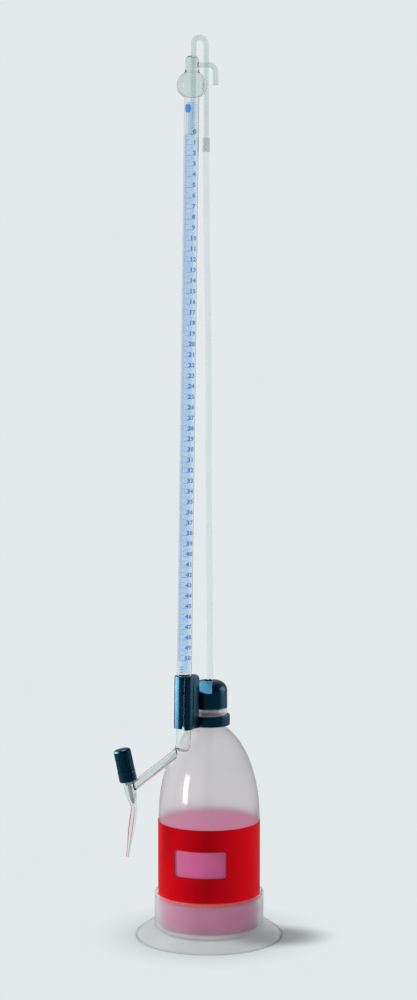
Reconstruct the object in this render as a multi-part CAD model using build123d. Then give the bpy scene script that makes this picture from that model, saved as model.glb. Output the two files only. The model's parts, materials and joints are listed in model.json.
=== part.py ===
from build123d import *
import os
from math import acos, atan2, cos, degrees, hypot, pi, radians, sin, sqrt, tan

# Automatic self-zeroing burette, 50 ml in 0.1 ml, on a 1000 ml squeeze bottle that stands in a foot.
# Millimetres, +Z up. The origin is on the bottle's axis, on the underside of the foot.
# The scale faces -Y, the valve is on the -X side and the vent tube points to +X.

# Scale and glass of the graduated tube
CAPACITY_ML = 50.0
ZERO_Z = 743.5
FULL_Z = 265.0
TUBE_BORE_R = sqrt(CAPACITY_ML * 1000.0 / (pi * (ZERO_Z - FULL_Z)))
TUBE_R = TUBE_BORE_R + 1.0
TUBE_BOTTOM_Z = 180.0
TUBE_TOP_Z = 778.0
TUBE_END_ROUND = 5.4
TUBE_END_THICK = 1.2

# The burette's axis passes through this point in the clip and leans towards the riser as it rises
CLIP_X, CLIP_Y, CLIP_Z = -23.1, -29.0, 225.0
LEAN_X, LEAN_Y = 0.01354, 0.02549

# Foot
FOOT_R = 68.5
FOOT_EDGE, FOOT_EDGE_WIDTH = 2.4, 2.2
FOOT_SKIRT_Z, FOOT_SKIRT_THICK, FOOT_SKIRT_DOME = 13.0, 3.2, 1.0
FOOT_RING_R = 51.0
FOOT_RING_TOP, FOOT_RING_ROUND = 42.0, 0.8
FOOT_SOCKET_R = 48.6
FOOT_FLOOR_Z = 9.0
FOOT_FLOOR_THICK = 2.4
FOOT_PAD_R = 10.0

# Bottle
BOTTLE_R = 47.5
BOTTLE_WALL = 1.4
BOTTLE_CORNER = 6.0
SHOULDER_Z = 112.0
SHOULDER_H = 90.5
SHOULDER_END_R = 17.5
SHOULDER_STEPS = 4
NECK_R = 14.6
NECK_BORE_R = 12.4
NECK_Z, NECK_FLOOR_Z = 199.4, 198.4
LIP_Z = 231.0
BEAD_R, BEAD_ROUND = 17.0, 1.2
BEAD_Z0, BEAD_Z1 = 210.0, 216.3
LIQUID_Z = 108.0
LIQUID_GAP = 0.2

# Label printed on a thin sleeve, with a clear window for writing on
LABEL_Z0, LABEL_Z1 = 38.0, 110.0
LABEL_THICK = 0.3
WINDOW_WIDTH, WINDOW_HEIGHT = 48.6, 24.6
WINDOW_CORNER = 2.5
WINDOW_Z = 77.3
WINDOW_TURN = -11.15

# Holder: a collar round the neck with a split clip for the burette
COLLAR_R = 19.5
COLLAR_BORE_R = 14.7
COLLAR_Z0, COLLAR_Z1 = 200.0, 209.8
COLLAR_ROUND = 1.0
CLIP_R = 9.0
CLIP_BORE_R = TUBE_R + 0.05
CLIP_Z0, CLIP_Z1 = 200.8, 250.5
CLIP_ROUND = 1.2
CLIP_SLIT, CLIP_SLIT_X, CLIP_SLIT_TILT = 1.9, 0.4, 1.5
CLIP_STEP = 1.4
WEB_THICK = 7.0
WEB_REACH = 18.7
WEB_SHOULDER_ROUND, WEB_EDGE_ROUND = 5.0, 1.0
WEB_OVERLAP = 3.0

# Screw cap, its slip ring, the bung and its gasket
CAP_R = 17.0
CAP_BORE_R, CAP_RECESS_R = 15.2, 13.6
CAP_Z0, CAP_TOP = 216.6, 241.4
CAP_ROUND = 9.5
CAP_CREASE_Z, CAP_CREASE_HEIGHT, CAP_CREASE_DEPTH = 232.4, 0.7, 0.5
CAP_HOLE_R = 4.2
CAP_POCKET_R, CAP_POCKET_TOP = 5.4, 239.2
CAP_NOTCH_X, CAP_NOTCH_Y = 2.8, -4.7
CAP_NOTCH_SLOPE = 38.7
GASKET_THICK = 0.4
BUNG_FLANGE_R, BUNG_FLANGE_THICK = 13.4, 1.5
BUNG_PLUG_R, BUNG_BOTTOM = 12.3, 220.0
BUNG_NIPPLE_R, BUNG_TOP = 4.8, 238.5
SLIP_RING_THICK = 0.8
SLIP_RING_BORE_R, SLIP_RING_R = 5.2, 13.2

# Riser and dip tube: soft tubing in the two sockets of the bung
TUBING_R, TUBING_BORE_R = 2.7, 1.8
RISER_SOCKET_Z = 229.0
DIP_TOP_Z, DIP_END_Z = 226.0, 15.0
RISER_ROUTE = [
    (1.0, 0.0, RISER_SOCKET_Z),
    (0.9, -0.4, 310.0),
    (-0.6, -2.2, 425.0),
    (-0.1, -3.6, 545.0),
    (-2.4, -5.3, 668.0),
    (-2.6, -6.0, 715.0),
]
RISER_END_Z = 742.0
SLEEVE_R, SLEEVE_LENGTH = 3.2, 13.0

# Glass head: filling tube with its U-bend, overflow bulb and vent
FILL_R, FILL_BORE_R = 2.4, 1.5
FILL_OFFSET_X = 1.2
FILL_TOP_Z = 831.4
FILL_END_Z = 729.5
FILL_BEND_R = 6.3
BULB_R, BULB_Z = 13.7, 788.3
HEAD_WALL = 1.1
HEAD_NECK_R = 6.2
BULB_TOP_Z = 799.8
BULB_NECK_FLARE_R = 4.0
HEAD_SHOULDER_Z, HEAD_TOP_Z = 809.6, 814.6
HEAD_CROWN_R = 2.8
HEAD_CROWN_BULGE = 0.9
VENT_R, VENT_BORE_R = 2.4, 1.5
VENT_Z = 806.4
VENT_CORNER_X, VENT_END_X = 5.6, 6.1
VENT_END_Z = 788.6
VENT_BEND_R = 6.0

# Side arm and needle valve
ARM_R, ARM_BORE_R = 4.2, 2.7
ARM_START_Z = 183.4
ARM_SLOPE = 38.0
SEAT_X, SEAT_Z = -69.9, 131.5
VALVE_TILT = 11.7
BARREL_R, BARREL_BORE_R = 5.35, 3.6
BARREL_SEAT, BARREL_CONE, BARREL_TOP = 0.5, 9.0, 30.0
OUTLET_R, OUTLET_BORE_R = 3.0, 0.9
OUTLET_DROP = 1.0
NUT_R, NUT_BOTTOM, NUT_TOP = 8.2, 21.5, 32.0
NUT_ROUND, NUT_CLEARANCE = 1.4, 0.2
SEAL_THICK = 0.8
GUIDE_BOTTOM, GUIDE_TOP = 18.5, 26.6
RUNNING_GAP = 0.05
NEEDLE_R, NEEDLE_TIP_R, NEEDLE_TIP = 1.7, 0.75, 0.6
STEM_R, STEM_TOP = 2.5, 47.5
O_RING_R, O_RING_Z = 0.9, 22.5
KNOB_R, KNOB_BOTTOM, KNOB_TOP = 8.0, 32.3, 52.0
KNOB_ROUND, KNOB_EDGE_ROUND = 2.6, 0.5
KNOB_POCKET_R, KNOB_POCKET_Z = 5.0, 44.0
KNOB_CAP_THICK, KNOB_CAP_ROUND = 1.8, 0.5
FLUTES, FLUTE_R, FLUTE_OUT = 18, 0.6, 0.2
FLUTE_BOTTOM = 33.8
CLIP_RING_R, CLIP_RING_THICK, CLIP_RING_Z = 4.2, 0.8, 45.0
CLIP_GROOVE_R = 2.0

# Jet below the valve
JET_END_X, JET_END_Z = -75.2, 81.8
JET_TIP_R, JET_TIP_LENGTH, JET_TAPER_TOP = 1.65, 8.0, 26.0
JET_TIP_BORE_R = 0.5
JET_ELBOW_DROP = 3.4
JET_ELBOW_R = 9.0
JET_ELBOW_MARGIN = 1.0

# Two lengths nearer than this are the same
CLOSE = 0.01


def burette_point(z):
    """Point of the burette's axis at height z."""
    return Vector(CLIP_X + LEAN_X * (z - CLIP_Z), CLIP_Y + LEAN_Y * (z - CLIP_Z), z)


BURETTE = Plane(origin=burette_point(0), x_dir=(1, 0, -LEAN_X), z_dir=(LEAN_X, LEAN_Y, 1))
VALVE_Y = burette_point(ARM_START_Z).Y
VALVE_UP = Vector(-sin(radians(VALVE_TILT)), 0, cos(radians(VALVE_TILT)))
VALVE = Plane(origin=(SEAT_X, VALVE_Y, SEAT_Z), x_dir=(cos(radians(VALVE_TILT)), 0, sin(radians(VALVE_TILT))),
              z_dir=VALVE_UP)


def rod(radius, z0, z1):
    """Solid cylinder on the Z axis from z0 to z1."""
    return Pos(0, 0, z0) * Cylinder(radius, z1 - z0, align=(Align.CENTER, Align.CENTER, Align.MIN))


def pipe(radius, bore, z0, z1):
    """Hollow cylinder on the Z axis from z0 to z1."""
    return rod(radius, z0, z1) - rod(bore, z0, z1)


def turned(*edges):
    """Solid turned about the Z axis from an outline of edges in radius and height."""
    return revolve(Plane.XZ * make_face(Curve() + list(edges)), Axis.Z)


def turned_points(*points):
    """Solid turned about the Z axis from a polygon of (radius, height) points."""
    return revolve(Plane.XZ * make_face(Polyline(*points, close=True)), Axis.Z)


def swept(path, radius):
    """Round rod along a path."""
    section = Plane(origin=path @ 0, z_dir=path % 0) * Circle(radius)
    return sweep(section, path=path)


def rod_between(start, end, radius):
    """Round rod between two points."""
    axis = Vector(end) - Vector(start)
    return Plane(origin=start, z_dir=axis) * rod(radius, 0, axis.length)


def rounded_route(points, share=0.45):
    """Path through points whose corners are arcs that take up this share of the shorter run beside them."""
    vectors = [Vector(p) for p in points]
    radii = []
    for before, corner, after in zip(vectors, vectors[1:], vectors[2:]):
        run_in, run_out = corner - before, after - corner
        turn = radians(run_in.get_angle(run_out))
        radii.append(share * min(run_in.length, run_out.length) / tan(turn / 2))
    print("arc radii:", [round(r) for r in radii])
    return FilletPolyline(*points, radius=radii)


def foot_base():
    """Moulded foot: a low domed skirt, a socket ring for the bottle and a floor on a central pad."""
    floor_under = FOOT_FLOOR_Z - FOOT_FLOOR_THICK
    skirt_under = FOOT_SKIRT_Z - FOOT_SKIRT_THICK
    skirt_mid = ((FOOT_R + FOOT_RING_R) / 2, (FOOT_EDGE + FOOT_SKIRT_Z) / 2 + FOOT_SKIRT_DOME)
    body = turned(
        Polyline((0, FOOT_FLOOR_Z), (0, 0), (FOOT_PAD_R, 0), (FOOT_PAD_R, floor_under),
                 (FOOT_SOCKET_R, floor_under), (FOOT_RING_R, skirt_under), (FOOT_R - FOOT_EDGE_WIDTH, 0),
                 (FOOT_R, 0), (FOOT_R, FOOT_EDGE)),
        ThreePointArc((FOOT_R, FOOT_EDGE), skirt_mid, (FOOT_RING_R, FOOT_SKIRT_Z)),
        Polyline((FOOT_RING_R, FOOT_SKIRT_Z), (FOOT_RING_R, FOOT_RING_TOP), (FOOT_SOCKET_R, FOOT_RING_TOP),
                 (FOOT_SOCKET_R, FOOT_FLOOR_Z), (0, FOOT_FLOOR_Z)),
    )
    rim = body.edges().filter_by(GeomType.CIRCLE).group_by(Axis.Z)[-1]
    return fillet(rim, FOOT_RING_ROUND)


def body_line(inset, top):
    """Outline of the bottle's base, corner and straight side up to height top, moved inwards by inset."""
    radius, base, corner = BOTTLE_R - inset, FOOT_FLOOR_Z + inset, BOTTLE_CORNER - inset / 2
    return [
        Line((0, base), (radius - corner, base)),
        RadiusArc((radius - corner, base), (radius, base + corner), -corner),
        Line((radius, base + corner), (radius, top)),
    ]


def shoulder_line(inset):
    """Quarter-ellipse outline of the bottle's shoulder, moved inwards by inset."""
    radius, height = BOTTLE_R - inset, SHOULDER_H - inset
    reach = acos((SHOULDER_END_R - inset) / radius)
    angles = [reach * step / SHOULDER_STEPS for step in range(SHOULDER_STEPS + 1)]
    points = [(radius * cos(a), SHOULDER_Z + height * sin(a)) for a in angles]
    return Spline(*points, tangents=[(0, 1), (-radius * sin(reach), height * cos(reach))])


def bottle():
    """Blow-moulded squeeze bottle with an elliptical shoulder, a support bead and an open neck."""
    outer, inner = shoulder_line(0), shoulder_line(BOTTLE_WALL)
    neck = Polyline(outer @ 1, (NECK_R, NECK_Z), (NECK_R, BEAD_Z0), (BEAD_R, BEAD_Z0), (BEAD_R, BEAD_Z1),
                    (NECK_R, BEAD_Z1), (NECK_R, LIP_Z), (NECK_BORE_R, LIP_Z), (NECK_BORE_R, NECK_FLOOR_Z),
                    inner @ 1)
    middle = Line((0, FOOT_FLOOR_Z), (0, FOOT_FLOOR_Z + BOTTLE_WALL))
    shell = turned(*body_line(0, SHOULDER_Z), outer, neck, inner, *body_line(BOTTLE_WALL, SHOULDER_Z), middle)
    bead = shell.edges().filter_by(GeomType.CIRCLE).filter_by(lambda e: abs(e.radius - BEAD_R) < CLOSE)
    return fillet(bead, BEAD_ROUND)


def label_band():
    """Thin printed sleeve round the bottle with a round-cornered window."""
    turn = radians(WINDOW_TURN)
    facing = Plane(origin=(0, 0, WINDOW_Z), x_dir=(cos(turn), sin(turn), 0), z_dir=(sin(turn), -cos(turn), 0))
    window = facing * extrude(RectangleRounded(WINDOW_WIDTH, WINDOW_HEIGHT, WINDOW_CORNER), 2 * BOTTLE_R)
    return pipe(BOTTLE_R + LABEL_THICK, BOTTLE_R, LABEL_Z0, LABEL_Z1) - window


def titrant():
    """Liquid in the bottle, with the dip tube standing in it."""
    inset = BOTTLE_WALL + LIQUID_GAP
    level = Polyline((BOTTLE_R - inset, LIQUID_Z), (0, LIQUID_Z), (0, FOOT_FLOOR_Z + inset))
    return turned(*body_line(inset, LIQUID_Z), level) - rod(TUBING_R + LIQUID_GAP, 0, LIP_Z)


def holder():
    """Collar under the neck bead, joined by a web to a split clip that grips the burette."""
    collar = pipe(COLLAR_R, COLLAR_BORE_R, COLLAR_Z0, COLLAR_Z1)
    collar = fillet(collar.edges().filter_by(GeomType.CIRCLE).sort_by(SortBy.RADIUS)[-2:], COLLAR_ROUND)
    clip_height, clip_middle = CLIP_Z1 - CLIP_Z0, (CLIP_Z0 + CLIP_Z1) / 2
    sleeve = rod(CLIP_R, CLIP_Z0, CLIP_Z1)
    sleeve = fillet(sleeve.edges().filter_by(GeomType.CIRCLE), CLIP_ROUND)
    web = Pos(WEB_REACH / 2, 0, clip_middle) * Box(WEB_REACH, WEB_THICK, clip_height)
    web = fillet(web.edges().filter_by(Axis.Y).group_by(Axis.X)[-1].sort_by(Axis.Z)[-1], WEB_SHOULDER_ROUND)
    web = fillet(web.edges().filter_by(Axis.Z).group_by(Axis.X)[-1], WEB_EDGE_ROUND)
    bore = rod(CLIP_BORE_R, 0, LIP_Z + CLIP_Z1)
    slit = Box(CLIP_SLIT, 2 * CLIP_R, 2 * clip_height)
    slit = Pos(CLIP_SLIT_X, -CLIP_R, clip_middle) * Rot(0, CLIP_SLIT_TILT, 0) * slit
    step = Pos(-CLIP_R, 0, CLIP_Z0) * Box(2 * CLIP_R, 4 * CLIP_R, 2 * CLIP_STEP)
    web_turn = degrees(atan2(-CLIP_Y, -CLIP_X))
    clip = BURETTE * (sleeve - slit - step + Rot(0, 0, web_turn) * web - bore)
    link_length = hypot(CLIP_X, CLIP_Y) - COLLAR_R - CLIP_R + 2 * WEB_OVERLAP
    link = Box(link_length, WEB_THICK, COLLAR_Z1 - COLLAR_Z0)
    link = Pos(COLLAR_R + link_length / 2 - WEB_OVERLAP, 0, (COLLAR_Z0 + COLLAR_Z1) / 2) * link
    return collar + Rot(0, 0, web_turn + 180) * link + clip - BURETTE * bore - rod(COLLAR_BORE_R, 0, LIP_Z)


def screw_cap():
    """Screw cap with a domed top, a pocket for the bung's nipple and a sloping notch in front."""
    shell = rod(CAP_R, CAP_Z0, CAP_TOP)
    shell = fillet(shell.edges().filter_by(GeomType.CIRCLE).group_by(Axis.Z)[-1], CAP_ROUND)
    crease = pipe(2 * CAP_R, CAP_R - CAP_CREASE_DEPTH, CAP_CREASE_Z, CAP_CREASE_Z + CAP_CREASE_HEIGHT)
    ceiling = LIP_Z + GASKET_THICK + BUNG_FLANGE_THICK + SLIP_RING_THICK
    inside = rod(CAP_BORE_R, CAP_Z0, LIP_Z) + rod(CAP_RECESS_R, LIP_Z, ceiling)
    inside += rod(CAP_POCKET_R, ceiling, CAP_POCKET_TOP)
    notch = Box(2 * CAP_R, 4 * CAP_R, CAP_R, align=(Align.MAX, Align.CENTER, Align.MIN))
    notch = Pos(CAP_NOTCH_X, CAP_NOTCH_Y, CAP_TOP) * Rot(CAP_NOTCH_SLOPE, 0, 0) * notch
    return shell - crease - inside - rod(CAP_HOLE_R, CAP_Z0, 2 * CAP_TOP) - notch


def cap_slip_ring():
    """Washer in the cap that keeps the turning cap from twisting the bung."""
    z0 = LIP_Z + GASKET_THICK + BUNG_FLANGE_THICK
    return pipe(SLIP_RING_R, SLIP_RING_BORE_R, z0, z0 + SLIP_RING_THICK)


def neck_gasket():
    """Flat sealing ring between the bottle's lip and the bung's flange."""
    return pipe(BUNG_FLANGE_R, NECK_BORE_R, LIP_Z, LIP_Z + GASKET_THICK)


def bung():
    """Plug in the bottle's neck, with a socket for the riser above and for the dip tube below."""
    flange_z = LIP_Z + GASKET_THICK
    body = (rod(BUNG_PLUG_R, BUNG_BOTTOM, flange_z) + rod(BUNG_NIPPLE_R, flange_z, BUNG_TOP)
            + rod(BUNG_FLANGE_R, flange_z, flange_z + BUNG_FLANGE_THICK))
    return (body - rod(TUBING_BORE_R, BUNG_BOTTOM, BUNG_TOP) - rod(TUBING_R, BUNG_BOTTOM, DIP_TOP_Z)
            - swept(riser_path(), TUBING_R))


def dip_tube():
    """Tube from the bung to the bottom of the bottle."""
    return pipe(TUBING_R, TUBING_BORE_R, DIP_END_Z, DIP_TOP_Z)


def riser_end():
    """Foot of the riser's last straight length, below the glass filling tube."""
    return Vector(*RISER_ROUTE[-1])


def riser_path():
    """Centre line of the riser: nearly straight, held by the bung below and by the glass above."""
    return rounded_route(RISER_ROUTE + [(riser_end().X, riser_end().Y, RISER_END_Z)])


def riser_tube():
    """Tubing from the bung up to the glass head, bored out at the top where the glass enters it."""
    path = riser_path()
    seat = Pos(riser_end().X, riser_end().Y, 0) * rod(FILL_R, FILL_END_Z, RISER_END_Z)
    return swept(path, TUBING_R) - swept(path, TUBING_BORE_R) - seat


def riser_sleeve():
    """Short sleeve that grips the tubing where the glass is pushed into it."""
    z0 = RISER_END_Z - SLEEVE_LENGTH
    return Pos(riser_end().X, riser_end().Y, 0) * pipe(SLEEVE_R, TUBING_R, z0, RISER_END_Z)


def fill_path():
    """Centre line of the filling tube: up from the riser, over the U-bend and down to the zero mark."""
    offset = Vector(FILL_OFFSET_X, 0, 0)
    low, high = burette_point(ZERO_Z) + offset, burette_point(FILL_TOP_Z) + offset
    outer = [(riser_end().X, riser_end().Y, z) for z in (FILL_TOP_Z, FILL_END_Z)]
    return FilletPolyline(low, high, *outer, radius=FILL_BEND_R)


def fill_tube():
    """Glass tube whose inner end, at the zero mark, siphons the surplus back and sets the zero."""
    path = fill_path()
    return swept(path, FILL_R) - swept(path, FILL_BORE_R)


def head_solid(wall):
    """Filled shape of the bulb and its neck, moved inwards by wall."""
    tube_r, neck_r = TUBE_R - wall, HEAD_NECK_R - wall
    crown_r, crown_z = HEAD_CROWN_R, HEAD_TOP_Z - wall
    bulge = ThreePointArc((tube_r, TUBE_TOP_Z), (BULB_R - wall, BULB_Z), (neck_r, BULB_TOP_Z))
    crown_mid = ((neck_r + crown_r) / 2 + HEAD_CROWN_BULGE,
                 (HEAD_SHOULDER_Z + crown_z) / 2 + HEAD_CROWN_BULGE)
    return turned(
        Polyline((0, crown_z), (0, TUBE_TOP_Z), (tube_r, TUBE_TOP_Z)),
        bulge,
        Line((neck_r, BULB_TOP_Z), (neck_r, HEAD_SHOULDER_Z)),
        ThreePointArc((neck_r, HEAD_SHOULDER_Z), crown_mid, (crown_r, crown_z)),
        Line((crown_r, crown_z), (0, crown_z)),
    )


def vent_path():
    """Centre line of the vent: out of the head's neck to the right, then bent down."""
    root = burette_point(VENT_Z)
    y = root.Y
    start = (root.X + HEAD_NECK_R - HEAD_WALL, y, VENT_Z)
    corner = (VENT_CORNER_X, y, VENT_Z)
    return FilletPolyline(start, corner, (VENT_END_X, y, VENT_END_Z), radius=VENT_BEND_R)


def vent_tube():
    """Bent glass tube that lets air and surplus out of the head."""
    path = vent_path()
    return swept(path, VENT_R) - swept(path, VENT_BORE_R) - BURETTE * rod(HEAD_NECK_R, TUBE_TOP_Z, HEAD_TOP_Z)


def flared_head(wall):
    """Filled shape of the bulb and its neck, moved inwards by wall, with a smooth flare between the two."""
    head = head_solid(wall)
    rings = head.edges().filter_by(GeomType.CIRCLE)
    joint = rings.filter_by(lambda e: abs(e.center().Z - BULB_TOP_Z) < CLOSE)
    return fillet(joint, BULB_NECK_FLARE_R + wall)


def overflow_bulb():
    """Blown bulb and neck on top of the graduated tube, closed round the filling tube."""
    shell = flared_head(0) - flared_head(HEAD_WALL)
    return BURETTE * shell - swept(fill_path(), FILL_R) - swept(vent_path(), VENT_BORE_R)


def arm_points():
    """Ends of the side arm's axis, on the axes of the graduated tube and of the valve."""
    start = burette_point(ARM_START_Z)
    slope = Vector(-cos(radians(ARM_SLOPE)), 0, -sin(radians(ARM_SLOPE)))
    # The two axes lie in one plane of constant Y, so their crossing is found from X and Z alone.
    across = (SEAT_X - start.X) * VALVE_UP.Z - (SEAT_Z - start.Z) * VALVE_UP.X
    length = across / (slope.X * VALVE_UP.Z - slope.Z * VALVE_UP.X)
    return start, start + slope * length


def graduated_tube():
    """Measuring tube with a closed round bottom and a port for the side arm."""
    outside = rod(TUBE_R, TUBE_BOTTOM_Z, TUBE_TOP_Z)
    outside = fillet(outside.edges().filter_by(GeomType.CIRCLE).group_by(Axis.Z)[0], TUBE_END_ROUND)
    inside = rod(TUBE_BORE_R, TUBE_BOTTOM_Z + TUBE_END_THICK, TUBE_TOP_Z)
    rim = inside.edges().filter_by(GeomType.CIRCLE).group_by(Axis.Z)[0]
    inside = fillet(rim, TUBE_END_ROUND - TUBE_END_THICK)
    start, end = arm_points()
    return BURETTE * (outside - inside) - rod_between(start, end, ARM_BORE_R)


def side_arm():
    """Oblique glass arm from the foot of the graduated tube to the valve barrel."""
    start, end = arm_points()
    arm = rod_between(start, end, ARM_R) - rod_between(start, end, ARM_BORE_R)
    nut_room = rod(NUT_R + NUT_CLEARANCE, NUT_BOTTOM - NUT_CLEARANCE, NUT_TOP)
    barrel_room = rod(BARREL_R, -BARREL_TOP, BARREL_TOP)
    return arm - BURETTE * rod(TUBE_R, 0, TUBE_TOP_Z) - VALVE * (barrel_room + nut_room)


def valve_barrel():
    """Glass barrel of the needle valve, which narrows to the seat and the outlet."""
    outside = turned_points((0, -OUTLET_DROP), (OUTLET_R, -OUTLET_DROP), (OUTLET_R, BARREL_SEAT),
                            (BARREL_R, BARREL_CONE), (BARREL_R, BARREL_TOP), (0, BARREL_TOP))
    inside = turned_points((0, -OUTLET_DROP), (OUTLET_BORE_R, -OUTLET_DROP), (OUTLET_BORE_R, BARREL_SEAT),
                           (BARREL_BORE_R, BARREL_CONE), (BARREL_BORE_R, BARREL_TOP), (0, BARREL_TOP))
    start, end = arm_points()
    return VALVE * (outside - inside) - rod_between(start, end, ARM_BORE_R)


def gland_seal():
    """Sealing ring between the barrel's top and the gland nut."""
    return VALVE * pipe(BARREL_R, STEM_R + RUNNING_GAP, BARREL_TOP, BARREL_TOP + SEAL_THICK)


def gland_nut():
    """Nut on the barrel that closes the valve and guides the spindle."""
    nut = rod(NUT_R, NUT_BOTTOM, NUT_TOP)
    nut = fillet(nut.edges().filter_by(GeomType.CIRCLE).group_by(Axis.Z)[0], NUT_ROUND)
    inside = rod(BARREL_R + RUNNING_GAP, NUT_BOTTOM, BARREL_TOP + SEAL_THICK)
    return VALVE * (nut - inside - rod(STEM_R + RUNNING_GAP, NUT_BOTTOM, NUT_TOP))


def valve_spindle():
    """Spindle with a guide that fits the barrel, a groove for its seal and a conical needle."""
    seat_slope = (BARREL_BORE_R - OUTLET_BORE_R) / (BARREL_CONE - BARREL_SEAT)
    needle_cone = (NEEDLE_R - NEEDLE_TIP_R) / seat_slope
    needle = turned_points((0, NEEDLE_TIP), (NEEDLE_TIP_R, NEEDLE_TIP), (NEEDLE_R, NEEDLE_TIP + needle_cone),
                           (NEEDLE_R, GUIDE_BOTTOM), (0, GUIDE_BOTTOM))
    guide = rod(BARREL_BORE_R - RUNNING_GAP, GUIDE_BOTTOM, GUIDE_TOP)
    groove = pipe(BARREL_BORE_R, BARREL_BORE_R - 2 * O_RING_R, O_RING_Z - O_RING_R, O_RING_Z + O_RING_R)
    spindle = needle + (guide - groove) + rod(STEM_R, GUIDE_TOP, STEM_TOP)
    return VALVE * (spindle - pipe(STEM_R, CLIP_GROOVE_R, CLIP_RING_Z, CLIP_RING_Z + CLIP_RING_THICK))


def spindle_o_ring():
    """Seal in the spindle's groove."""
    ring = Torus(BARREL_BORE_R - RUNNING_GAP - O_RING_R, O_RING_R - RUNNING_GAP)
    return VALVE * (Pos(0, 0, O_RING_Z) * ring)


def valve_knob():
    """Fluted knob that turns on the spindle's stem and carries it up and down."""
    knob = rod(KNOB_R, KNOB_BOTTOM, KNOB_TOP)
    knob = fillet(knob.edges().filter_by(GeomType.CIRCLE).group_by(Axis.Z)[-1], KNOB_ROUND)
    knob = fillet(knob.edges().filter_by(GeomType.CIRCLE).group_by(Axis.Z)[0], KNOB_EDGE_ROUND)
    flutes = PolarLocations(KNOB_R + FLUTE_OUT, FLUTES) * rod(FLUTE_R, FLUTE_BOTTOM, KNOB_TOP - KNOB_ROUND)
    inside = rod(STEM_R + RUNNING_GAP, KNOB_BOTTOM, KNOB_TOP) + rod(KNOB_POCKET_R, KNOB_POCKET_Z, KNOB_TOP)
    return VALVE * (knob - flutes - inside)


def knob_clip():
    """Retaining ring in the stem's groove, which keeps the knob on the spindle."""
    return VALVE * pipe(CLIP_RING_R, CLIP_GROOVE_R, CLIP_RING_Z, CLIP_RING_Z + CLIP_RING_THICK)


def knob_cap():
    """Disc pressed into the top of the knob over the retaining ring."""
    disc = rod(KNOB_POCKET_R, KNOB_TOP - KNOB_CAP_THICK, KNOB_TOP)
    return VALVE * fillet(disc.edges().filter_by(GeomType.CIRCLE).group_by(Axis.Z)[-1], KNOB_CAP_ROUND)


def jet_tip():
    """Glass jet: a short elbow below the valve, a straight capillary and a drawn-out, ground tip."""
    outlet = VALVE.origin - VALVE_UP * OUTLET_DROP
    elbow = outlet - VALVE_UP * JET_ELBOW_DROP
    tip = Vector(JET_END_X, VALVE_Y, JET_END_Z)
    along = Plane(origin=tip, x_dir=(1, 0, 0), z_dir=elbow - tip)
    straight = (elbow - tip).length - JET_ELBOW_DROP - JET_ELBOW_MARGIN
    joint = tip + (elbow - tip).normalized() * straight
    path = FilletPolyline(joint, elbow, outlet, radius=JET_ELBOW_R)
    outside = turned_points((0, 0), (JET_TIP_R, 0), (JET_TIP_R, JET_TIP_LENGTH), (OUTLET_R, JET_TAPER_TOP),
                            (OUTLET_R, straight), (0, straight))
    inside = turned_points((0, 0), (JET_TIP_BORE_R, 0), (JET_TIP_BORE_R, JET_TIP_LENGTH),
                           (OUTLET_BORE_R, JET_TAPER_TOP), (OUTLET_BORE_R, straight), (0, straight))
    return along * outside + swept(path, OUTLET_R) - along * inside - swept(path, OUTLET_BORE_R)


PARTS = [
    foot_base, bottle, label_band, titrant, holder, screw_cap, cap_slip_ring, neck_gasket, bung, dip_tube,
    riser_tube, riser_sleeve, fill_tube, vent_tube, overflow_bulb, graduated_tube, side_arm, valve_barrel,
    gland_seal, gland_nut, valve_spindle, spindle_o_ring, valve_knob, knob_clip, knob_cap, jet_tip,
]

os.makedirs("parts", exist_ok=True)
for make in PARTS:
    export_step(Part() + make(), f"parts/{make.__name__}.step")
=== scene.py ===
"""Looks of an automatic burette: materials, printed scale, liquid, moulded bottle, light and camera.

Metres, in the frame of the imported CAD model: +Z up, the scale faces -Y, the valve is on the -X side.
"""
import json
import math

import bmesh
import bpy
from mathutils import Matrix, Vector, noise


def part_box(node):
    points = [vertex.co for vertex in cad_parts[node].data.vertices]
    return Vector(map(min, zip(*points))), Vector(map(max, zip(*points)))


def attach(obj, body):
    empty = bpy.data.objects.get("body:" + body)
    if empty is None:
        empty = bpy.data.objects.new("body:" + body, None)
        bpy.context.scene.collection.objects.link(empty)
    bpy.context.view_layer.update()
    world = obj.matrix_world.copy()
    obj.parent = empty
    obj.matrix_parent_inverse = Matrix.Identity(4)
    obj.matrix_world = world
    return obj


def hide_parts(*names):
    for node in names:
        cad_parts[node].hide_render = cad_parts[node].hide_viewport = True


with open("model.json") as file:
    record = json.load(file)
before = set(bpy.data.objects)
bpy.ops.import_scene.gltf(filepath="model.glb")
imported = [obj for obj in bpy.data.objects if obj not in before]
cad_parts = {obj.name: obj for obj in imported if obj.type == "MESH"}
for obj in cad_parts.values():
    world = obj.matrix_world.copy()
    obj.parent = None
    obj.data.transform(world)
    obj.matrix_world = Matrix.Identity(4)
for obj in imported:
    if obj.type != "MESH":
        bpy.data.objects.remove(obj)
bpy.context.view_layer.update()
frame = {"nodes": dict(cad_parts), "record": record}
NODES = frame["nodes"]
GLASS_BODY = "reservoir"
MM = 0.001

# Graduated tube and its printed scale. Turns are in degrees to the right of the tube's front, DIGIT_SHARE is a
# digit's height as a share of its font's size, and a layer is its lift off the glass and its thickness
TUBE_R = 6.767 * MM
ZERO_Z, FULL_Z, CAPACITY_ML = 743.5 * MM, 265.0 * MM, 50
MARKS_PER_ML = 10
MARK_WIDTH = 0.34 * MM
INK_THICK = 0.03 * MM
INK_LIFT = 0.03 * MM
MARK_START = -62.0
SHORT_END, HALF_END, LONG_END = -30.0, -14.0, 10.0
DIGIT_HEIGHT, DIGIT_SHARE, DIGIT_WIDEN, DIGIT_BOLD = 3.8 * MM, 0.70, 1.25, 0.040
DIGIT_TURN, DIGIT_RISE, DIGIT_GAP = 28.0, 0.45 * MM, 0.03 * MM
STRIPE_TURN, STRIPE_HALF, LINE_HALF = 180.0, 64.0, 32.0
STRIPE_LOW, STRIPE_HIGH = 252.0 * MM, 774.0 * MM
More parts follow.
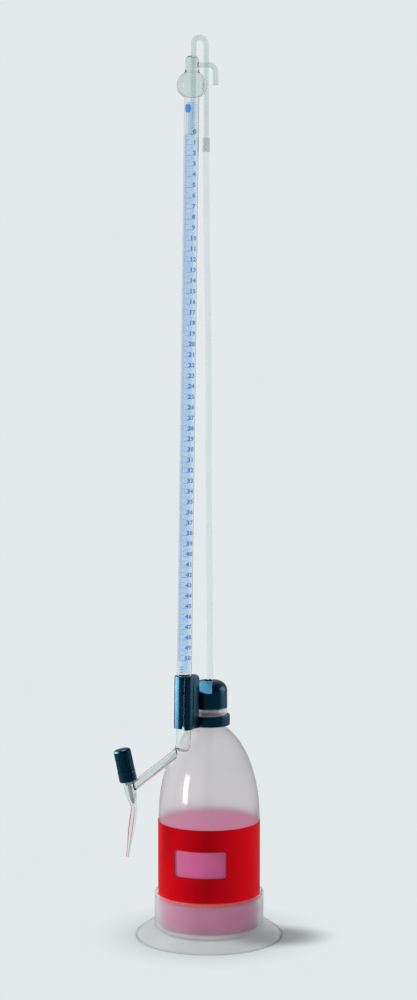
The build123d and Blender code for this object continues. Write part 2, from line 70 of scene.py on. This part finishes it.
STRIPE_COLUMNS = 8
OPAL_LAYER, LINE_LAYER = (0.08 * MM, 0.03 * MM), (0.03 * MM, 0.03 * MM)

# Plain printed marks of the tube: a rounded field near its top and bars near its foot
FIELD_LOW, FIELD_ROW = 763.0 * MM, 1.25 * MM
FIELD_LEFT, FIELD_RIGHT = -60.0, -4.0
FIELD_ROUNDING = (9.0, 3.0, 0.0, 0.0, 3.0, 9.0)
BARS, BAR_LOW, BAR_PITCH, BAR_HEIGHT = 3, 254.0 * MM, 2.4 * MM, 0.7 * MM
BAR_LEFT, BAR_RIGHT = -38.0, -8.0

# Bottle: body, underside from its middle outwards, neck, support bead, lip and the ridges for its thread
BOTTLE_R, BOTTLE_WALL, BOTTLE_CORNER = 47.5 * MM, 1.4 * MM, 6.0 * MM
BOTTLE_BASE_Z, SHOULDER_Z, SHOULDER_H = 9.0 * MM, 112.0 * MM, 90.5 * MM
SHOULDER_END_R = 17.5 * MM
UNDERSIDE = ((0.0, 10.4 * MM), (22.0 * MM, 10.0 * MM), (33.0 * MM, 9.6 * MM), (36.0 * MM, 9.1 * MM))
FLAT_R, INNER_RISE = UNDERSIDE[-1][0], 1.6 * BOTTLE_WALL
NECK_R, NECK_LOW = 14.6 * MM, 199.4 * MM
BEAD_R, BEAD_LOW, BEAD_HIGH, BEAD_ROUND = 17.0 * MM, 210.0 * MM, 216.3 * MM, 1.4 * MM
LIP_R, LIP_Z, LIP_ROUND = 14.3 * MM, 231.0 * MM, 0.3 * MM
BORE_R, BORE_LOW = 12.4 * MM, 198.4 * MM
THREADS, THREAD_LOW, THREAD_PITCH, THREAD_DEPTH = 3, 219.6 * MM, 4.0 * MM, 0.6 * MM
THREAD_PROFILE = ((0.0, 0.0), (THREAD_DEPTH, 0.5 * MM), (THREAD_DEPTH, 1.1 * MM), (0.0, 1.6 * MM))

# Mould seams, the unevenness of the blown wall, and how far the skin lies inside the label
SEAM_TURN, SEAM_WIDTH, SEAM_HEIGHT = -33.0, 0.9 * MM, 0.22 * MM
WAVE_HEIGHT, WAVES_ROUND, WAVES_PER_METRE = 0.10 * MM, 2.2, 28.0
FADE_TOP, FADE_LENGTH = 196.0 * MM, 30.0 * MM
BOTTLE_INSET = 0.15 * MM

# Liquid: its level, the rise and width of its meniscus, and its gap to the wall
LIQUID_Z, MENISCUS, MENISCUS_REACH = 108.0 * MM, 0.9 * MM, 3.5 * MM
LIQUID_GAP = 0.25 * MM

# Steps of the turned shapes: round the axis, and along the parts of their outlines
BOTTLE_TURNS, LIQUID_TURNS = 240, 128
CORNER_STEPS, SIDE_STEPS, SHOULDER_STEPS, BEAD_STEPS = 8, 24, 40, 5
LIQUID_SIDE_STEPS, MENISCUS_STEPS = 6, 8

# Finishes: the smooth skin of moulded polyethylene, flow marks of moulded plastic, and where most noise lies
SKIN_WEIGHT, SKIN_ROUGHNESS = 0.45, 0.10
FLOW_HEIGHT, FLOW_STRENGTH = 0.01 * MM, 0.12
NOISE_RANGE = (0.3, 0.7)

# Camera: two metres in front of the bottle's axis, above the middle of the tube and looking slightly down
CAMERA_AT = Vector((-0.0005, -2.0, 0.570))
CAMERA_DOWN = 4.57
SENSOR, LENS = 36.0, 77.98

# Stage: the pale tone all round, and how strongly the floor and the room light the object
PAPER = (0.776, 0.815, 0.831)
FLOOR_HALF, FLOOR_GLOW = 6.0, 0.35
ROOM_FRONT, ROOM_BACK, ROOM_TURN = 0.08, 0.35, (-0.6, 0.9)

# Shadow: under the foot, and the soft oval beside it
SHADOW_REACH, SHADOW_FULL, SHADOW_DARK, SHADOW_SAMPLES = 0.07, 0.55, 0.6, 16
CAST_CENTRE, CAST_SIZE = (0.060, -0.006), (0.066, 0.046)
CAST_CORE, CAST_DARK = 0.30, 0.45

# Lights: each one's name, place, height of its aim on the bottle's axis, width, height, power in watts, the
# pieces it is for, and whether it shows in their gloss; only those in SEEN_THROUGH show through what is clear
LEFT, RIGHT, FRONT = (-1.6, -0.15, 0.55), (1.7, -0.3, 0.5), (0.3, -2.6, 1.6)
LIGHTS = (
    ("bulb_left", (-1.6, -0.6, 0.60), 0.79, 0.8, 0.8, 5.0, "bulb", True),
    ("bulb_right", (1.5, -0.6, 1.1), 0.79, 0.4, 0.4, 2.5, "bulb", True),
    ("blue_left", (-1.3, 0.10, 0.5), 0.3, 1.6, 1.2, 70.0, "blue", True),
    ("blue_right", (1.5, 0.3, 0.5), 0.3, 1.2, 1.2, 10.0, "blue", True),
    ("blue_top", (-0.1, 0.3, 1.7), 0.24, 0.6, 0.6, 13.0, "blue", True),
    ("left_box", LEFT, 0.35, 0.7, 1.4, 20.0, "solid", False),
    ("left_wall", (-1.7, 0.3, 0.9), 0.35, 2.6, 2.6, 42.0, "solid", False),
    ("right_box", RIGHT, 0.3, 0.5, 1.2, 6.0, "solid", False),
    ("label_left", LEFT, 0.35, 0.7, 1.4, 33.0, "label", False),
    ("label_right", RIGHT, 0.3, 0.5, 1.2, 25.0, "label", False),
    ("label_front", FRONT, 0.3, 1.2, 1.2, 15.0, "label", False),
    ("top_box", (0.0, 0.0, 1.7), 0.2, 0.4, 0.4, 8.0, "solid", False),
    ("front_fill", FRONT, 0.3, 1.2, 1.2, 6.0, "solid", False),
    ("left_strip", (-0.97, -0.70, 0.35), 0.15, 0.035, 0.40, 6.5, "solid", True),
)
SEEN_THROUGH = ("left_wall",)

# Finish and lights of a piece go by its own name where that is here, and by its slot otherwise. Slots that have
# no lights here take the "solid" ones, and clear pieces take only the light of the room and the floor
OWN_FINISH = {"graduated_tube": "tube_glass", "riser_sleeve": "sleeve", "fill_tube": "thin_glass",
              "vent_tube": "thin_glass"}
OWN_LIGHT = {"overflow_bulb": "bulb"}
SLOT_LIGHT = {"glass": None, "tubing": None, "blue_plastic": "blue", "label_print": "label"}


# ---------------------------------------------------------------- meshes

def mesh_piece(name, vertices, faces, smooth=True):
    """Mesh object from points and faces."""
    mesh = bpy.data.meshes.new(name)
    mesh.from_pydata([tuple(v) for v in vertices], [], faces)
    mesh.update()
    piece = bpy.data.objects.new(name, mesh)
    bpy.context.scene.collection.objects.link(piece)
    if smooth:
        mesh.shade_smooth()
    return piece


def lathe(name, outline, turns, shift=None):
    """Closed skin turned about the Z axis, from (radius, height) points that start and end on the axis.

    shift(angle, height) is added to the radius of the points that are not on the axis."""
    vertices, faces, rings = [], [], []
    for radius, height in outline:
        if radius < 1e-7:
            rings.append([len(vertices)] * turns)
            vertices.append((0.0, 0.0, height))
            continue
        rings.append(range(len(vertices), len(vertices) + turns))
        for step in range(turns):
            angle = 2 * math.pi * step / turns
            r = radius + (shift(angle, height) if shift else 0.0)
            vertices.append((r * math.sin(angle), -r * math.cos(angle), height))
    for lower, upper in zip(rings, rings[1:]):
        for step in range(turns):
            after = (step + 1) % turns
            corners = (lower[step], lower[after], upper[after], upper[step])
            faces.append(tuple(dict.fromkeys(corners)))
    return mesh_piece(name, vertices, [f for f in faces if len(f) > 2])


def arc_points(centre, radius, start, end, steps):
    """Points of an arc in the (radius, height) plane, angles in degrees from the outward direction."""
    angles = [math.radians(start + (end - start) * i / steps) for i in range(steps + 1)]
    return [(centre[0] + radius * math.cos(a), centre[1] + radius * math.sin(a)) for a in angles]


# ---------------------------------------------------------------- the tube's own directions

tube_low, tube_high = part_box("graduated_tube")
AXIS_LOW = Vector((tube_low.x + TUBE_R, tube_low.y + TUBE_R, tube_low.z))
AXIS_HIGH = Vector((tube_high.x - TUBE_R, tube_high.y - TUBE_R, tube_high.z))
ALONG = (AXIS_HIGH - AXIS_LOW).normalized()
ACROSS = Vector((1, 0, 0)) - ALONG * ALONG.x
ACROSS.normalize()
FORWARD = ALONG.cross(ACROSS)


def on_tube(turn, height, lift):
    """Point on the graduated tube, turn in degrees to the right of its front, at a height of its axis."""
    centre = AXIS_LOW + ALONG * ((height - AXIS_LOW.z) / ALONG.z)
    angle = math.radians(turn)
    return centre + (ACROSS * math.sin(angle) - FORWARD * math.cos(angle)) * (TUBE_R + lift)


def add_band(vertices, faces, start, end, low, high, step=7.0):
    """Adds a thin closed strip of ink round the tube from angle start to end."""
    count = max(1, round(abs(end - start) / step))
    base = len(vertices)
    for i in range(count + 1):
        turn = start + (end - start) * i / count
        for lift in (INK_LIFT, INK_LIFT + INK_THICK):
            for height in (low, high):
                vertices.append(on_tube(turn, height, lift))
    for i in range(count):
        a, b = base + 4 * i, base + 4 * (i + 1)
        for p, q in ((0, 1), (1, 3), (3, 2), (2, 0)):
            faces.append((a + p, a + q, b + q, b + p))
    faces.append((base, base + 2, base + 3, base + 1))
    last = base + 4 * count
    faces.append((last, last + 1, last + 3, last + 2))


def scale_marks():
    """Ring marks of the scale: one each 0.1 ml, longer at each half and each whole millilitre."""
    vertices, faces = [], []
    for mark in range(CAPACITY_ML * MARKS_PER_ML + 1):
        height = ZERO_Z + (FULL_Z - ZERO_Z) * mark / (CAPACITY_ML * MARKS_PER_ML)
        if mark % MARKS_PER_ML == 0:
            end = LONG_END
        elif mark % (MARKS_PER_ML // 2) == 0:
            end = HALF_END
        else:
            end = SHORT_END
        add_band(vertices, faces, MARK_START, end, height - MARK_WIDTH / 2, height + MARK_WIDTH / 2)
    return mesh_piece("scale_marks", vertices, faces, smooth=False)


def scale_numbers():
    """Numbers 0 to 50, one at each whole millilitre, wrapped round the tube above their marks."""
    merged = bmesh.new()
    for value in range(CAPACITY_ML + 1):
        text = bpy.data.curves.new("digits", "FONT")
        text.body = str(value)
        text.align_x = "CENTER"
        text.size = DIGIT_HEIGHT / DIGIT_SHARE
        text.offset = DIGIT_BOLD * text.size
        text.resolution_u = 2
        text.extrude = INK_THICK / 2
        holder = bpy.data.objects.new("digits", text)
        bpy.context.scene.collection.objects.link(holder)
        bpy.context.view_layer.update()
        mesh = bpy.data.meshes.new_from_object(holder)
        foot = ZERO_Z + (FULL_Z - ZERO_Z) * value / CAPACITY_ML + DIGIT_RISE
        for vertex in mesh.vertices:
            turn = DIGIT_TURN + math.degrees(DIGIT_WIDEN * vertex.co.x / TUBE_R)
            lift = INK_LIFT + INK_THICK + vertex.co.z + DIGIT_GAP
            vertex.co = on_tube(turn, foot + vertex.co.y, lift)
        merged.from_mesh(mesh)
        bpy.data.objects.remove(holder)
        bpy.data.curves.remove(text)
        bpy.data.meshes.remove(mesh)
    mesh = bpy.data.meshes.new("scale_numbers")
    merged.to_mesh(mesh)
    merged.free()
    piece = bpy.data.objects.new("scale_numbers", mesh)
    bpy.context.scene.collection.objects.link(piece)
    return piece


def tube_print():
    """Plain blue field near the top of the tube and small plain bars near its foot, with no words."""
    vertices, faces = [], []
    for row, inset in enumerate(FIELD_ROUNDING):
        low = FIELD_LOW + row * FIELD_ROW
        add_band(vertices, faces, FIELD_LEFT + inset, FIELD_RIGHT - inset, low, low + FIELD_ROW)
    for row in range(BARS):
        low = BAR_LOW + row * BAR_PITCH
        add_band(vertices, faces, BAR_LEFT, BAR_RIGHT, low, low + BAR_HEIGHT)
    return mesh_piece("tube_print", vertices, faces, smooth=False)


def back_stripe(name, half, lift, thick):
    """Closed strip down the back of the tube, where half is half of its width in degrees."""
    vertices, faces = [], []
    for height in (STRIPE_LOW, STRIPE_HIGH):
        for side in (lift, lift + thick):
            for i in range(STRIPE_COLUMNS + 1):
                turn = STRIPE_TURN - half + 2 * half * i / STRIPE_COLUMNS
                vertices.append(on_tube(turn, height, side))
    row = STRIPE_COLUMNS + 1
    for i in range(STRIPE_COLUMNS):
        faces.append((i, i + 1, 2 * row + i + 1, 2 * row + i))
        faces.append((row + i, 3 * row + i, 3 * row + i + 1, row + i + 1))
        faces.append((i, row + i, row + i + 1, i + 1))
        faces.append((2 * row + i, 2 * row + i + 1, 3 * row + i + 1, 3 * row + i))
    for i in (0, STRIPE_COLUMNS):
        faces.append((i, 2 * row + i, 3 * row + i, row + i))
    return mesh_piece(name, vertices, faces, smooth=False)


# ---------------------------------------------------------------- bottle and liquid

def shoulder_points(inset, steps):
    """Quarter-ellipse outline of the shoulder, moved inwards, from the side up to the neck."""
    radius, height = BOTTLE_R - inset, SHOULDER_H - inset
    reach = math.acos((SHOULDER_END_R - inset) / radius)
    angles = [reach * i / steps for i in range(steps + 1)]
    return [(radius * math.cos(a), SHOULDER_Z + height * math.sin(a)) for a in angles]


def side_points(inset, top, steps):
    """Outline of the base, its corner and the straight side up to height top, moved inwards."""
    radius, base, corner = BOTTLE_R - inset, BOTTLE_BASE_Z + inset, BOTTLE_CORNER - inset / 2
    rise = [(radius, base + corner + (top - base - corner) * i / steps) for i in range(1, steps)]
    return arc_points((radius - corner, base + corner), corner, -90, 0, CORNER_STEPS) + rise


def bottle_shift(angle, height):
    """Mould seams on two opposite sides, and the slight unevenness of a blown wall."""
    seam = 0.0
    for turn in (SEAM_TURN, SEAM_TURN + 180.0):
        away = (math.degrees(angle) - turn + 180.0) % 360.0 - 180.0
        seam += math.exp(-(math.radians(away) * BOTTLE_R / (SEAM_WIDTH / 2)) ** 2)
    around = Vector((math.sin(angle) * WAVES_ROUND, math.cos(angle) * WAVES_ROUND, height * WAVES_PER_METRE))
    wave = noise.noise(around)
    fade = min(1.0, max(0.0, (FADE_TOP - height) / FADE_LENGTH))
    return (seam * SEAM_HEIGHT + wave * WAVE_HEIGHT) * fade - BOTTLE_INSET


def moulded_bottle():
    """The bottle with its seams, base ring, bead and ridges for the thread, made from one outline."""
    outer = list(UNDERSIDE) + side_points(0.0, SHOULDER_Z, SIDE_STEPS) + shoulder_points(0.0, SHOULDER_STEPS)
    outer += [(NECK_R, NECK_LOW), (NECK_R, BEAD_LOW)]
    outer += arc_points((BEAD_R - BEAD_ROUND, BEAD_LOW + BEAD_ROUND), BEAD_ROUND, -90, 0, BEAD_STEPS)
    outer += arc_points((BEAD_R - BEAD_ROUND, BEAD_HIGH - BEAD_ROUND), BEAD_ROUND, 0, 90, BEAD_STEPS)
    outer += [(LIP_R, BEAD_HIGH)]
    for thread in range(THREADS):
        foot = THREAD_LOW + thread * THREAD_PITCH
        outer += [(LIP_R + out, foot + up) for out, up in THREAD_PROFILE]
    outer += [(LIP_R, LIP_Z - LIP_ROUND), (LIP_R - LIP_ROUND, LIP_Z)]
    outer += [(BORE_R + LIP_ROUND, LIP_Z), (BORE_R, LIP_Z - LIP_ROUND), (BORE_R, BORE_LOW)]
    inner = [(0.0, BOTTLE_BASE_Z + INNER_RISE), (FLAT_R, BOTTLE_BASE_Z + BOTTLE_WALL)]
    inner += side_points(BOTTLE_WALL, SHOULDER_Z, SIDE_STEPS)
    inner += shoulder_points(BOTTLE_WALL, SHOULDER_STEPS)
    return lathe("moulded_bottle", outer + inner[::-1], BOTTLE_TURNS, bottle_shift)


def liquid_fill():
    """The titrant, with the rise of its meniscus at the wall."""
    inset = BOTTLE_WALL + LIQUID_GAP
    radius = BOTTLE_R - inset
    outline = [(0.0, BOTTLE_BASE_Z + inset)] + side_points(inset, LIQUID_Z, LIQUID_SIDE_STEPS)
    for step in range(MENISCUS_STEPS + 1):
        inwards = step / MENISCUS_STEPS
        outline.append((radius - MENISCUS_REACH * inwards, LIQUID_Z + MENISCUS * (1.0 - inwards) ** 3))
    outline.append((0.0, LIQUID_Z))
    return lathe("liquid_fill", outline, LIQUID_TURNS)


# ---------------------------------------------------------------- materials

class Paint:
    """A Principled material with helpers for procedural colour, roughness and bump."""

    def __init__(self, name, colour, roughness, **sockets):
        self.material = bpy.data.materials.new(name)
        self.material.use_nodes = True
        self.nodes = self.material.node_tree.nodes
        self.links = self.material.node_tree.links
        self.shader = self.nodes["Principled BSDF"]
        self.shader.inputs["Base Color"].default_value = (*colour, 1.0)
        self.shader.inputs["Roughness"].default_value = roughness
        for socket, value in sockets.items():
            self.shader.inputs[socket.replace("_", " ")].default_value = value
        self.place = self.nodes.new("ShaderNodeTexCoord").outputs["Object"]

    def stretched(self, x, y, z):
        """Object coordinates scaled along each axis."""
        mapping = self.nodes.new("ShaderNodeMapping")
        mapping.inputs["Scale"].default_value = (x, y, z)
        self.links.new(self.place, mapping.inputs["Vector"])
        return mapping.outputs["Vector"]

    def noise(self, scale, detail=3.0, where=None):
        """Noise value; scale is features per metre."""
        node = self.nodes.new("ShaderNodeTexNoise")
        node.inputs["Scale"].default_value = scale
        node.inputs["Detail"].default_value = detail
        self.links.new(where or self.place, node.inputs["Vector"])
        return node.outputs["Fac"]

    def colours(self, value, *stops):
        """Colours along a ramp: each stop is (position, colour)."""
        node = self.nodes.new("ShaderNodeValToRGB")
        ramp = node.color_ramp
        while len(ramp.elements) < len(stops):
            ramp.elements.new(0.5)
        for element, (position, colour) in zip(ramp.elements, stops):
            element.position = position
            element.color = (*colour, 1.0)
        self.links.new(value, node.inputs["Fac"])
        self.links.new(node.outputs["Color"], self.shader.inputs["Base Color"])
        return self

    def rough(self, value, low, high):
        """Roughness that varies from low to high with a noise value."""
        node = self.nodes.new("ShaderNodeMapRange")
        start, end = NOISE_RANGE
        for socket, number in (("From Min", start), ("From Max", end), ("To Min", low), ("To Max", high)):
            node.inputs[socket].default_value = number
        self.links.new(value, node.inputs["Value"])
        self.links.new(node.outputs["Result"], self.shader.inputs["Roughness"])
        return self

    def bump(self, value, height, strength):
        """Bump of that height in metres."""
        node = self.nodes.new("ShaderNodeBump")
        node.inputs["Strength"].default_value = strength
        node.inputs["Distance"].default_value = height
        self.links.new(value, node.inputs["Height"])
        self.links.new(node.outputs["Normal"], self.shader.inputs["Normal"])
        return self


def near(colour, factor):
    """Colour scaled in brightness."""
    return tuple(min(1.0, c * factor) for c in colour)


def varied(paint, colour, scale, spread=0.08):
    """Mottles a paint's colour slightly about its mean."""
    darker, lighter = near(colour, 1 - spread), near(colour, 1 + spread)
    return paint.colours(paint.noise(scale), (0.35, darker), (0.65, lighter))


def glass(name, tint, roughness=0.01, ior=1.47):
    """Clear glass or tubing, faintly tinted, with a polish that varies a little along it."""
    paint = Paint(name, tint, roughness, Transmission_Weight=1.0, IOR=ior)
    varied(paint, tint, 60.0, 0.008)
    drawn = paint.noise(90.0, 2.0, paint.stretched(1.0, 1.0, 0.2))
    return paint.rough(drawn, roughness, roughness * 2.0).material


def moulded(name, colour, roughness, gloss, tint=(1.0, 1.0, 1.0)):
    """Moulded opaque plastic with a fine sheen and slight flow marks."""
    paint = Paint(name, colour, roughness, Specular_IOR_Level=gloss, Specular_Tint=(*tint, 1.0))
    varied(paint, colour, 45.0, 0.10)
    paint.rough(paint.noise(260.0, 4.0), roughness * 0.8, roughness * 1.3)
    return paint.bump(paint.noise(500.0, 2.0), FLOW_HEIGHT, FLOW_STRENGTH).material


def printed_film(name, colour, roughness):
    """Film of printing ink, even in colour with a faint grain in its gloss."""
    paint = Paint(name, colour, roughness, Specular_IOR_Level=0.05)
    varied(paint, colour, 30.0, 0.03)
    return paint.rough(paint.noise(300.0, 2.0), roughness * 0.9, roughness * 1.1).material


def milky(name, colour, roughness, clear, ior):
    """Natural polyethylene: it blurs what is behind it, is a little white itself and has a smooth skin."""
    paint = Paint(name, colour, roughness, Transmission_Weight=clear, IOR=ior, Coat_Weight=SKIN_WEIGHT,
                  Coat_Roughness=SKIN_ROUGHNESS)
    cloud = paint.noise(26.0, 4.0)
    paint.colours(cloud, (0.3, near(colour, 0.97)), (0.7, near(colour, 1.02)))
    return paint.rough(paint.noise(120.0, 3.0), roughness * 0.9, roughness * 1.1).material


def see_through(name, colour, roughness, clear, ior, scale):
    """Tinted body that lets the share clear of the light through, slightly mottled."""
    paint = Paint(name, colour, roughness, Transmission_Weight=clear, IOR=ior)
    varied(paint, colour, scale, 0.03)
    return paint.rough(paint.noise(scale * 2), roughness * 0.8, roughness * 1.3).material


def make_materials():
    """Every finish, by the record's slot, or by a name of its own where a piece differs from its slot."""
    rubber = Paint("seal_black", (0.02, 0.02, 0.02), 0.6)
    varied(rubber, (0.02, 0.02, 0.02), 200.0, 0.2).rough(rubber.noise(400.0), 0.5, 0.7)

    steel = Paint("spring_steel", (0.55, 0.55, 0.56), 0.3, Metallic=1.0)
    lines = steel.noise(900.0, 2.0, steel.stretched(1.0, 1.0, 0.05))
    varied(steel, (0.55, 0.55, 0.56), 300.0).rough(lines, 0.2, 0.4)

    return {
        "glass": glass("clear_glass", (0.86, 0.905, 0.895)),
        "tube_glass": glass("tube_glass", (0.950, 0.966, 0.980)),
        "thin_glass": glass("thin_glass", (0.85, 0.902, 0.885)),
        "foot_plastic": milky("foot_polyethylene", (0.990, 0.987, 1.0), roughness=0.40, clear=0.94, ior=1.07),
        "bottle_plastic": milky("bottle_polyethylene", (0.880, 0.868, 0.864), roughness=0.48, clear=0.945,
                                ior=1.12),
        "label_print": printed_film("label_red", (0.60, 0.002, 0.007), roughness=0.35),
        "liquid": see_through("liquid_pink", (0.85, 0.015, 0.33), roughness=0.05, clear=0.10, ior=1.33,
                              scale=14.0),
        "blue_plastic": moulded("blue_plastic", (0.0015, 0.007, 0.016), roughness=0.22, gloss=1.0,
                                tint=(0.05, 0.58, 1.0)),
        "white_plastic": moulded("white_plastic", (0.80, 0.80, 0.78), roughness=0.4, gloss=0.5),
        "tubing": glass("soft_tubing", (0.935, 0.960, 0.949), roughness=0.03, ior=1.38),
        "sleeve": glass("soft_sleeve", (0.93, 0.95, 0.94), roughness=0.12, ior=1.36),
        "spindle_plastic": moulded("spindle_white", (0.62, 0.66, 0.67), roughness=0.4, gloss=0.4),
        "seal_rubber": rubber.material,
        "steel": steel.material,
        "ink": see_through("scale_ink", (0.22, 0.44, 0.88), roughness=0.3, clear=0.95, ior=1.05, scale=600.0),
        "opal": see_through("opal_stripe", (0.78, 0.89, 1.0), roughness=0.1, clear=1.0, ior=1.02,
                            scale=300.0),
        "blue_line": see_through("blue_line", (0.72, 0.86, 1.0), roughness=0.1, clear=1.0, ior=1.02,
                                 scale=300.0),
    }


def wear(piece, material):
    """Gives a piece one material."""
    if not piece.material_slots:
        piece.data.materials.append(material)
    for slot in piece.material_slots:
        slot.link = "OBJECT"
        slot.material = material
    return piece


# ---------------------------------------------------------------- stage, light and camera

def only_seen(nodes, links):
    """Value that is 1 for what is looked at, straight or through something clear, and 0 for reflections."""
    path = nodes.new("ShaderNodeLightPath")
    either = nodes.new("ShaderNodeMath")
    either.operation = "MAXIMUM"
    links.new(path.outputs["Is Camera Ray"], either.inputs[0])
    links.new(path.outputs["Is Transmission Ray"], either.inputs[1])
    return either.outputs["Value"]


def contact_shadow(nodes, links):
    """Value that is SHADOW_DARK where the floor is hidden under the foot, and 1 in the open."""
    hidden = nodes.new("ShaderNodeAmbientOcclusion")
    hidden.samples = SHADOW_SAMPLES
    hidden.inputs["Distance"].default_value = SHADOW_REACH
    depth = nodes.new("ShaderNodeMapRange")
    depth.inputs["From Min"].default_value = SHADOW_FULL
    depth.inputs["To Min"].default_value = SHADOW_DARK
    links.new(hidden.outputs["AO"], depth.inputs["Value"])
    return depth.outputs["Result"]


def cast_shadow(nodes, links):
    """Value that is CAST_DARK in the middle of a soft oval to the right of the foot, and 1 outside it."""
    beside = nodes.new("ShaderNodeMapping")
    x, y = CAST_CENTRE
    width, depth = CAST_SIZE
    beside.inputs["Location"].default_value = (-x / width, -y / depth, 0)
    beside.inputs["Scale"].default_value = (1 / width, 1 / depth, 0)
    links.new(nodes.new("ShaderNodeTexCoord").outputs["Object"], beside.inputs["Vector"])
    away = nodes.new("ShaderNodeVectorMath")
    away.operation = "LENGTH"
    links.new(beside.outputs["Vector"], away.inputs[0])
    fall = nodes.new("ShaderNodeMapRange")
    fall.interpolation_type = "SMOOTHSTEP"
    fall.inputs["From Min"].default_value = CAST_CORE
    fall.inputs["To Min"].default_value = CAST_DARK
    links.new(away.outputs["Value"], fall.inputs["Value"])
    return fall.outputs["Result"]


def make_floor():
    """Pale floor that runs level into the pale distance, with soft shadows under and beside the foot."""
    corners = [(-FLOOR_HALF, -FLOOR_HALF, 0), (FLOOR_HALF, -FLOOR_HALF, 0), (FLOOR_HALF, FLOOR_HALF, 0),
               (-FLOOR_HALF, FLOOR_HALF, 0)]
    floor = mesh_piece("floor", corners, [(0, 1, 2, 3)], smooth=False)
    paper = bpy.data.materials.new("floor_paper")
    paper.use_nodes = True
    nodes, links = paper.node_tree.nodes, paper.node_tree.links
    nodes.clear()
    both = nodes.new("ShaderNodeMath")
    both.operation = "MULTIPLY"
    links.new(contact_shadow(nodes, links), both.inputs[0])
    links.new(cast_shadow(nodes, links), both.inputs[1])
    tone = nodes.new("ShaderNodeMix")
    tone.data_type = "RGBA"
    tone.blend_type = "MULTIPLY"
    tone.inputs["Factor"].default_value = 1.0
    tone.inputs["A"].default_value = (*PAPER, 1.0)
    links.new(both.outputs["Value"], tone.inputs["B"])
    power = nodes.new("ShaderNodeMapRange")
    power.inputs["To Min"].default_value = FLOOR_GLOW
    links.new(only_seen(nodes, links), power.inputs["Value"])
    glow = nodes.new("ShaderNodeEmission")
    links.new(tone.outputs["Result"], glow.inputs["Color"])
    links.new(power.outputs["Result"], glow.inputs["Strength"])
    output = nodes.new("ShaderNodeOutputMaterial")
    links.new(glow.outputs["Emission"], output.inputs["Surface"])
    wear(floor, paper)


def make_room():
    """Pale room, whose light on the object is dim from the front and stronger from behind."""
    world = bpy.data.worlds.new("room")
    world.use_nodes = True
    nodes, links = world.node_tree.nodes, world.node_tree.links
    background = nodes["Background"]
    background.inputs["Color"].default_value = (*PAPER, 1.0)
    direction = nodes.new("ShaderNodeSeparateXYZ")
    links.new(nodes.new("ShaderNodeTexCoord").outputs["Generated"], direction.inputs["Vector"])
    around = nodes.new("ShaderNodeMapRange")
    around.interpolation_type = "SMOOTHSTEP"
    around.inputs["From Min"].default_value, around.inputs["From Max"].default_value = ROOM_TURN
    around.inputs["To Min"].default_value = ROOM_FRONT
    around.inputs["To Max"].default_value = ROOM_BACK
    links.new(direction.outputs["Y"], around.inputs["Value"])
    power = nodes.new("ShaderNodeMix")
    power.inputs["B"].default_value = 1.0
    links.new(only_seen(nodes, links), power.inputs["Factor"])
    links.new(around.outputs["Result"], power.inputs["A"])
    links.new(power.outputs["Result"], background.inputs["Strength"])
    bpy.context.scene.world = world


def area_light(name, place, aim_height, width, height, power, lit, in_gloss):
    """Rectangular soft light that looks at the bottle's axis and is for the pieces in the collection lit."""
    light = bpy.data.lights.new(name, "AREA")
    light.shape = "RECTANGLE"
    light.size, light.size_y = width, height
    light.energy = power
    holder = bpy.data.objects.new(name, light)
    holder.location = place
    holder.rotation_euler = (Vector((0, 0, aim_height)) - Vector(place)).to_track_quat("-Z", "Y").to_euler()
    bpy.context.scene.collection.objects.link(holder)
    holder.light_linking.receiver_collection = lit
    holder.visible_glossy = in_gloss
    holder.visible_transmission = name in SEEN_THROUGH


def make_lights(lit_pieces):
    """All the lights, each for its own group; lit_pieces are the pieces of each group, by its name."""
    groups = {}
    for name, pieces in lit_pieces.items():
        groups[name] = bpy.data.collections.new(name)
        for piece in pieces:
            groups[name].objects.link(piece)
    for name, place, aim_height, width, height, power, group, in_gloss in LIGHTS:
        area_light(name, place, aim_height, width, height, power, groups[group], in_gloss)


def make_camera():
    """Camera with the long side of its picture upright."""
    data = bpy.data.cameras.new("camera")
    data.sensor_width = SENSOR
    data.lens = LENS
    camera = bpy.data.objects.new("camera", data)
    camera.location = CAMERA_AT
    camera.rotation_euler = (math.radians(90.0 - CAMERA_DOWN), 0.0, 0.0)
    bpy.context.scene.collection.objects.link(camera)
    bpy.context.scene.camera = camera


# ---------------------------------------------------------------- the whole

bpy.context.scene.view_settings.view_transform = "Standard"
make_camera()
make_floor()
make_room()
finishes = make_materials()

lit = {"bulb": [], "blue": [], "label": [], "solid": []}
for part in frame["record"]["subparts"]:
    node, slot = part["node"], part["material_slot"]
    wear(NODES[node], finishes[OWN_FINISH.get(node, slot)])
    group = OWN_LIGHT.get(node, SLOT_LIGHT.get(slot, "solid"))
    if group:
        lit[group].append(NODES[node])

bottle = wear(moulded_bottle(), finishes["bottle_plastic"])
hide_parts("bottle")
liquid = wear(liquid_fill(), finishes["liquid"])
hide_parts("titrant")
lit["solid"] += [bottle, liquid]

printed = [wear(make(), finishes["ink"]) for make in (scale_marks, scale_numbers, tube_print)]
printed.append(wear(back_stripe("opal_stripe", STRIPE_HALF, *OPAL_LAYER), finishes["opal"]))
printed.append(wear(back_stripe("blue_line", LINE_HALF, *LINE_LAYER), finishes["blue_line"]))
for piece in [bottle, liquid, *printed]:
    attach(piece, GLASS_BODY)

make_lights(lit)
